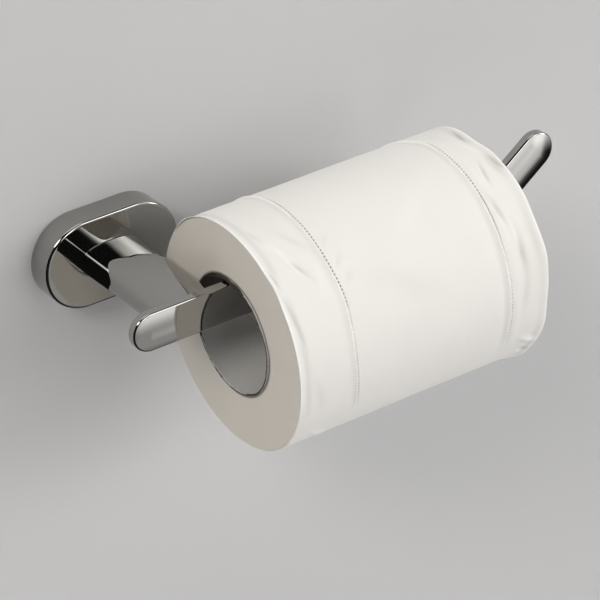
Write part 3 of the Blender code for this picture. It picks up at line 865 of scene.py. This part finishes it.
def grid_mesh(name, points, wrap, uv):
    """A sheet of quads from an array of rows by columns of points, with its UV map in metres."""
    rows, columns = points.shape[:2]
    index = np.arange(rows * columns).reshape(rows, columns)
    if wrap:
        index = np.concatenate([index, index[:1]])
        uv = np.concatenate([uv, uv[:1]])
        uv[-1, :, 1] = uv[-2, :, 1] * 2 - uv[-3, :, 1]
    corners = [index[:-1, :-1], index[:-1, 1:], index[1:, 1:], index[1:, :-1]]
    faces = np.stack([c.ravel() for c in corners], axis=1)
    mesh = bpy.data.meshes.new(name)
    mesh.from_pydata(points.reshape(-1, 3).tolist(), [], faces.tolist())
    layer = mesh.uv_layers.new(name="UVMap")
    places = [uv[:-1, :-1], uv[:-1, 1:], uv[1:, 1:], uv[1:, :-1]]
    flat = np.stack([p.reshape(-1, 2) for p in places], axis=1).astype(np.float32)
    layer.data.foreach_set("uv", flat.ravel())
    mesh.shade_smooth()
    return new_object(name, mesh)


def roll_points(x, radius, angle):
    """Points round the roll's axis. Angle 0 faces the room and 90 degrees is up."""
    axis_y, axis_z = roll_axis()
    y = axis_y - radius * np.cos(angle)
    z = axis_z + radius * np.sin(angle)
    return np.stack(np.broadcast_arrays(x, y, z), axis=-1)


def revolved(name, x, radius, angle, material):
    """A closed skin round the roll's axis. Each row is a profile that ends where it starts."""
    points = roll_points(x, radius, angle)
    steps = np.linalg.norm(np.diff(points[0], axis=0), axis=1)
    across = np.concatenate([[0], np.cumsum(steps)])[None, :]
    uv = np.stack(np.broadcast_arrays(across, angle * np.max(radius)), axis=-1).copy()
    item = grid_mesh(name, points, True, uv)
    bm = bmesh.new()
    bm.from_mesh(item.data)
    bmesh.ops.remove_doubles(bm, verts=bm.verts, dist=MERGE_DISTANCE)
    bmesh.ops.recalc_face_normals(bm, faces=bm.faces)
    bm.to_mesh(item.data)
    bm.free()
    item.data.shade_smooth()
    item.data.set_sharp_from_angle(angle=ROLL_SHARP_ANGLE)
    item.data.materials.append(material)
    return item


def span(rise, fall, value):
    """1 between two soft ends and 0 outside. Each end is where it starts and where it stops."""
    return smooth(*rise, value) * (1 - smooth(*fall, value))


def waves_round(table, degrees):
    """Waves round the roll, from rows of height in millimetres, angle and half width."""
    return MM * sum(height * hump(angle, half_width, degrees) for height, angle, half_width in table)


def write_attribute(item, name, values):
    """Stores a 0 to 1 number for each point, for the material."""
    layer = item.data.attributes.new(name, "FLOAT", "POINT")
    layer.data.foreach_set("value", np.clip(values, 0, 1).astype(np.float32).ravel())


def stitch_place(line, degrees):
    """Where an embossed line runs, as a share of the sheet's width, as it wanders round the roll."""
    shift, start, end = line["shift"]
    bend, angle, half_width = line["bend"]
    return line["share"] + shift * smooth(start, end, degrees) + bend * hump(angle, half_width, degrees)


def sheet_columns(width):
    """Where the sheet's columns of points lie, closer together near both edges and both lines."""
    columns = set(np.linspace(0, width, SHEET_COLUMNS))
    columns |= set(np.linspace(0, BORDER_WIDTH, BORDER_COLUMNS))
    columns |= set(np.linspace(width - BORDER_WIDTH, width, BORDER_COLUMNS))
    for share in STITCH_SHARES:
        columns |= set(share * width + STITCH_COLUMNS)
    for step in EDGE_COLUMNS:
        columns |= {step, width - step}
    return np.array(sorted(columns))[None, :]


class SheetGrid:
    """The outer sheet's points: where each lies across the sheet, along it and round the roll, how
    far it is embossed, and whether its left edge is a lip or lies flush."""

    def __init__(self, width, radius):
        start, turn = math.radians(SHEET_START), math.radians(SHEET_TURN)
        self.width, self.radius = width, radius
        self.across = sheet_columns(width)
        self.angles = (start - turn * np.linspace(0, 1, SHEET_ROWS))[:, None]
        self.degrees = np.degrees(self.angles)
        self.along = radius * (start - self.angles)
        self.lines = [stitch_place(line, self.degrees) * width for line in STITCH_LINES]
        self.dash = smooth(*DASH_ENDS, np.sin(2 * np.pi * self.along / STITCH_PITCH))
        under = 1 - smooth(*PRESSED_UNDER, self.degrees)
        pressed = smooth(*PRESSED_FRONT, self.degrees) + UNDER_STRENGTH * under
        self.embossed = smooth(*PRESSED_START, self.along) * pressed
        self.edge = 1 - smooth(0, LIP_WIDTH, self.across)
        self.lip = sum(span(rise, fall, self.degrees) for rise, fall in LIP_STRETCHES)
        self.flush = 1 - smooth(*FLUSH_UNDER, self.degrees) + smooth(*FLUSH_BEHIND, self.degrees)

    def offsets(self, share, degrees):
        """How far each point lies from a spot, across the sheet and along it."""
        place = self.radius * math.radians(SHEET_START - degrees)
        return self.across - share * self.width, self.along - place

    def band(self, place, offset, half_width, height=1):
        """A soft band along the sheet, beside a place across it."""
        return height * hump(place + offset, half_width, self.across)


def stitch_relief(gap, dash):
    """A ridge with a dashed groove on its right in a shallow trough, by the distance from a line."""
    ridge, groove, trough = (
        height * hump(offset, half_width, gap)
        for offset, half_width, height in (STITCH_RIDGE, STITCH_GROOVE, STITCH_TROUGH)
    )
    return ridge + groove * (DASH_GAP_DEPTH + (1 - DASH_GAP_DEPTH) * dash) + trough


def crease_relief(grid):
    """Soft creases, and the dips just inside the loose right edge."""
    total = 0
    for share, degrees, length, half_width, height, slant in CREASES:
        u, v = grid.offsets(share, degrees)
        cosine, sine = math.cos(math.radians(slant)), math.sin(math.radians(slant))
        lengthways, sideways = v * cosine + u * sine, u * cosine - v * sine
        bell = hump(0, length * MM, lengthways) * hump(0, half_width * MM, sideways)
        total += height * MM * bell
    return total + waves_round(RIM_VALLEYS, grid.degrees) * grid.band(grid.width, *RIM_VALLEY)


def fold_shades(grid):
    """Lens-shaped marks of narrow folds, which dent the sheet and are also its painted shadow."""
    total = 0
    for first_share, first_degrees, last_share, last_degrees, half_width, shade in FOLDS:
        u, v = grid.offsets(first_share, first_degrees)
        run = (last_share - first_share) * grid.width
        rise = grid.radius * math.radians(first_degrees - last_degrees)
        length = math.hypot(run, rise)
        taper = np.sin(np.pi * np.clip((u * run + v * rise) / length**2, 0, 1))
        offset = (u * rise - v * run) / length
        lens = half_width * MM * (FOLD_END_WIDTH + (1 - FOLD_END_WIDTH) * taper)
        total += shade * taper * hump(0, lens, offset)
    return total


def sheet_relief(grid, creases, folds):
    """How far each point stands out from the smooth roll."""
    across, degrees, right = grid.across, grid.degrees, grid.lines[1]
    relief = sum(stitch_relief(across - line, grid.dash) for line in grid.lines) * grid.embossed
    fading = 1 - smooth(*RIGHT_HOLLOW_END, degrees)
    relief += grid.band(right, *RIGHT_HOLLOW) * grid.embossed * fading
    relief += grid.band(right, *RIGHT_SWELL) * grid.embossed
    relief += SHEET_SWELL * np.sin(3 * grid.angles + 40 * across + 0.7) * np.sin(65 * across + 1.2)
    relief -= FOLD_DEPTH * folds
    relief += creases
    loose = smooth(grid.width - RIM_LOOSE_WIDTH, grid.width, across) ** 2
    relief += waves_round(RIM_WAVES, degrees) * loose
    relief += (LIP_RISE * grid.lip - FLUSH_DROP * grid.flush) * MM * grid.edge
    return relief - grid.band(0, *LIP_TROUGH) * grid.lip


def line_shade(grid, place, line):
    """Painted shade of an embossed line: its groove, its rope-like lower stretch and its left side."""
    dashed = span(*line["dashes"], grid.degrees)
    plain = line["shade"] * (1 - dashed) * smooth(*PLAIN_GROOVE_START, grid.degrees)
    shade = dashed * (DASH_GAP_SHADE + DASH_SHADE * grid.dash) + plain
    groove = grid.band(place, *GROOVE_PAINTED_SHADE) * shade
    rope = grid.band(place, *ROPE_PAINTED_SHADE) * grid.dash * (1 - smooth(*ROPE_END, grid.degrees))
    return (groove + rope + grid.band(place, *LEFT_SIDE_PAINTED_SHADE)) * grid.embossed


def painted_shade_of_sheet(grid, creases, folds):
    """Painted shade of each point, from the embossed lines, the creases and folds, and both edges."""
    shades = sum(line_shade(grid, place, line) for place, line in zip(grid.lines, STITCH_LINES))
    shades += grid.band(0, *LIP_PAINTED_SHADE) * grid.lip
    shades += DIP_SHADE * np.clip(-creases / DIP_DEPTH, 0, 1)
    shades += folds
    return shades + grid.band(grid.width, *RIM_PAINTED_SHADE)


def painted_highlights_of_sheet(grid, creases):
    """The painted highlight on each point: along both edges, on crests and on the lines' ridges."""
    start, end = RIM_LIGHT
    lights = grid.lip * (1 - smooth(*LIP_LIGHT, grid.across))
    lights += smooth(grid.width - start, grid.width - end, grid.across)
    lights += CREST_LIGHT * np.clip(creases / CREST_HEIGHT, 0, 1)
    return lights + grid.embossed * sum(grid.band(place, *RIDGE_LIGHT) for place in grid.lines)


def make_outer_sheet(material):
    """The last turn of tissue, wound once round with a short overlap at the back."""
    low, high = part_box("paper_roll")
    radius = (high.z - low.z) / 2
    grid = SheetGrid(high.x - low.x, radius)
    creases, folds = crease_relief(grid), fold_shades(grid)

    tucked = radius - SHEET_TUCK
    end = grid.along[-1, 0]
    level = tucked + (radius - SHEET_LEVEL - tucked) * smooth(*TUCK_END, grid.along)
    level += TAIL_LIFT * smooth(end - TAIL_LENGTH, end, grid.along)
    x = low.x + grid.across + (FLUSH_INSET * grid.flush - LIP_REACH * grid.lip) * MM * grid.edge
    points = roll_points(x, level + sheet_relief(grid, creases, folds), grid.angles)

    uv = np.stack(np.broadcast_arrays(grid.across, grid.along), axis=-1).copy()
    sheet = grid_mesh("outer_sheet", points, False, uv)
    # Painted shade and painted highlights, stored on the mesh for the material
    write_attribute(sheet, "hole", painted_shade_of_sheet(grid, creases, folds))
    write_attribute(sheet, "painted_highlight", painted_highlights_of_sheet(grid, creases))
    solid = sheet.modifiers.new("thickness", "SOLIDIFY")
    solid.thickness = SHEET_THICKNESS
    solid.offset = 1.0
    sheet.data.materials.append(material)
    return sheet


def end_face(angles, inner, rim):
    """How far an end face stands out, and its radii: fine turns, swells and a rounded rim."""
    share = np.linspace(0, 1, WINDING_RINGS)[None, :]
    radii = inner + (rim - inner) * share * np.ones_like(angles)
    turns = (radii - inner) / WINDING_PITCH + angles / (2 * np.pi)
    wide, narrow = FACE_SWELLS
    swell = wide * np.sin(2 * angles + 60 * radii) + narrow * np.sin(5 * angles + 1)
    place, half_width, depth = FACE_HOLLOW
    out = WINDING_RELIEF * np.sin(2 * np.pi * turns) + swell - depth * hump(place, half_width, share)
    return out - FACE_ROUND * smooth(FACE_ROUND_START, 1.0, share) ** 2, radii


def make_windings(material):
    """The wound paper under the outer sheet: two end faces of many edges, a bore and an outside."""
    low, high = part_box("paper_roll")
    outer = (high.z - low.z) / 2
    inner = CORE_OUTER + CORE_GAP
    angles = np.linspace(0, 2 * np.pi, WINDING_ROWS, endpoint=False)[:, None]
    degrees = (-np.degrees(angles) + SHEET_START) % 360 + SHEET_START - 360
    rim_left = outer - LEFT_RIM_DROP
    out_left, radii_left = end_face(angles, inner, rim_left)
    out_right, radii_right = end_face(angles, inner, outer - RIGHT_RIM_DROP)
    left = low.x + LEFT_FACE_INSET - out_left
    right = high.x - RIGHT_FACE_INSET + out_right
    wide = np.ones_like(angles)
    shoulder = np.concatenate([(low.x + end) * wide for end in SHOULDER_ENDS], axis=1)
    start, end = OUTSIDE_ENDS
    middle = np.linspace(low.x + start, high.x - end, WINDING_COLUMNS)[None, :] * wide
    share = np.linspace(0, 1, WINDING_COLUMNS)
    taper = TAPER * smooth(TAPER_START, 1, share)
    outside = (outer - OUTSIDE_DROP - taper)[None, :] * wide
    under = np.concatenate([rim_left * wide, (outer - OUTSIDE_DROP) * wide], axis=1)
    bore = left[:, :1] + (right[:, :1] - left[:, :1]) * np.linspace(1, 0, BORE_COLUMNS)[None, 1:]
    x = np.concatenate([left, shoulder, middle, right[:, ::-1], bore], axis=1)
    bore_radii = np.full_like(bore, inner)
    radii = np.concatenate([radii_left, under, outside, radii_right[:, ::-1], bore_radii], axis=1)
    windings = revolved("paper_windings", x, radii, np.radians(degrees), material)

    # Painted shade on the end faces, darkest at the bore and fading outwards
    spots = np.array([vertex.co for vertex in windings.data.vertices])
    distance = np.hypot(*(spots[:, 1:] - roll_axis()).T)
    near, far = BORE_SHADE_WIDTH
    write_attribute(windings, "hole", BORE_SHADE * (1 - smooth(inner + near, inner + far, distance)))
    return windings


def make_core(board, edge):
    """The card tube, with a ragged cut edge, dark board darkened further by painted shade, and its inside.
    """
    low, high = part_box("core_tube")
    left, right = low.x - CORE_PROUD, high.x + CORE_PROUD
    angles = np.linspace(0, 2 * np.pi, CORE_ROWS, endpoint=False)[:, None]
    coarse, fine = CORE_RAGGED
    ragged = coarse * np.sin(7 * angles) * np.sin(3 * angles + 1) + fine * np.sin(31 * angles)
    swell = CORE_SWELL * (1 + np.sin(5 * angles + 2) * np.sin(2 * angles))
    length = np.linspace(0, 1, CORE_COLUMNS)[None, :]
    outside = (left + ragged) + (right - left - 2 * ragged) * length
    inside = np.concatenate([outside[:, -1:], outside[:, ::-1]], axis=1)
    inside[:, 1:] = np.clip(inside[:, 1:], left + CORE_CUT + ragged, right - CORE_CUT - ragged)
    x = np.concatenate([outside, inside, outside[:, :1], outside[:, :1]], axis=1)
    bore = CORE_OUTER - CORE_WALL
    radii = [CORE_OUTER] * CORE_COLUMNS + [bore] * (CORE_COLUMNS + 1) + [bore, CORE_OUTER]
    near_left = np.maximum(1 - (x - left) / CORE_SWELL_LENGTH, 0)
    near_right = np.maximum(1 - (right - x) / CORE_SWELL_LENGTH, 0)
    swollen = np.array(radii)[None, :] + swell * np.minimum(near_left + near_right, 1)
    core = revolved("core_wall", x, swollen, angles, board)
    core.data.materials.append(edge)
    for face in core.data.polygons:
        middle = face.center.x
        if middle < left + CORE_CUT or middle > right - CORE_CUT:
            face.material_index = 1
    return core


def make_ply(ply, material):
    """A loose strip of the core's paper along its left rim."""
    start, end = ply["angles"]
    angles = np.radians(np.linspace(start, end, PLY_STEPS))[:, None]
    share = np.linspace(0, 1, PLY_STEPS)[:, None]
    taper = np.sin(np.pi * share) ** 0.5
    tears = np.sin(23 * share) + 0.6 * np.sin(57 * share + 1) + 0.4 * np.sin(131 * share)
    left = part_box("core_tube")[0].x - ply["proud"] * MM
    first = left - ply.get("ragged", 0) * MM * tears * taper
    last = left + ply["width"] * MM * (PLY_END_WIDTH + (1 - PLY_END_WIDTH) * taper)
    x = np.concatenate([first, last, last, first], axis=1)
    height, half_waves, power = ply["wave"]
    lift = ply["lift"] + height * np.sin(half_waves * np.pi * share) ** power
    base = CORE_OUTER - CORE_WALL + lift * MM
    radii = np.concatenate([base, base, base + PLY_THICKNESS, base + PLY_THICKNESS], axis=1)
    rings = [[tuple(point) for point in row] for row in roll_points(x, radii, angles)]
    item = loft(ply["name"], rings)
    item.data.shade_smooth()
    item.data.set_sharp_from_angle(angle=PLY_SHARP_ANGLE)
    item.data.uv_layers.new(name="UVMap")
    item.data.materials.append(material)
    return item


# Assembly


def put(item, body, slot, *nodes):
    """Adds a piece to a body, in place of the CAD nodes that it replaces; its slot is not used."""
    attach(item, body)
    if nodes:
        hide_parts(*nodes)


def paint(material, *nodes):
    """Gives carried-over CAD nodes their finish."""
    for node in nodes:
        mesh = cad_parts[node].data
        mesh.materials.clear()
        mesh.materials.append(material)


def main():
    make_camera()
    make_stage()
    make_world()
    make_key_light()
    metal = polished_metal()
    put(make_cover(metal), "holder", "polished_metal", "base_cover")
    put(make_post(metal), "holder", "polished_metal", "post")
    put(make_bar(metal), "holder", "polished_metal", "roll_bar")
    white = tissue("tissue_sheet", 500, 1500, dark=(0.88, 0.863, 0.834), light=(0.915, 0.898, 0.87))
    sheet = make_outer_sheet(white)
    put(sheet, "roll", "tissue_paper", "paper_roll")
    edges = tissue("tissue_edges", 2600, 120, dark=(0.67, 0.632, 0.575), light=(0.72, 0.68, 0.62))
    put(make_windings(edges), "roll", "tissue_paper", "paper_roll")
    board = cardboard("cardboard", dark=(0.56, 0.555, 0.54), light=(0.66, 0.652, 0.635))
    # Cut edge board: darker than the board, and its near black is painted shade
    cut_board_and_painted_shade = cardboard("cardboard_cut_and_painted_shade", dark=(0.045, 0.037, 0.03), light=(0.09, 0.075, 0.06))
    ply_board = cardboard("cardboard_ply", dark=(0.70, 0.69, 0.67), light=(0.80, 0.79, 0.77))
    put(make_core(board, cut_board_and_painted_shade), "roll", "cardboard", "core_tube")
    # The loose plies use the cut edge board, so their near black is painted shade too
    for ply in TORN_PLIES:
        put(make_ply(ply, cut_board_and_painted_shade), "roll", "cardboard")
    put(make_ply(INNER_PLY, ply_board), "roll", "cardboard")
    paint(plated_steel(), "wall_bracket", "wall_screw_left", "wall_screw_right", "clamp_plate", "bar_plug")
    paint(dark_steel(), "set_screw", "lock_washer", "tie_bolt")
    paint(anchor_nylon(), "wall_anchor_left", "wall_anchor_right")


main()
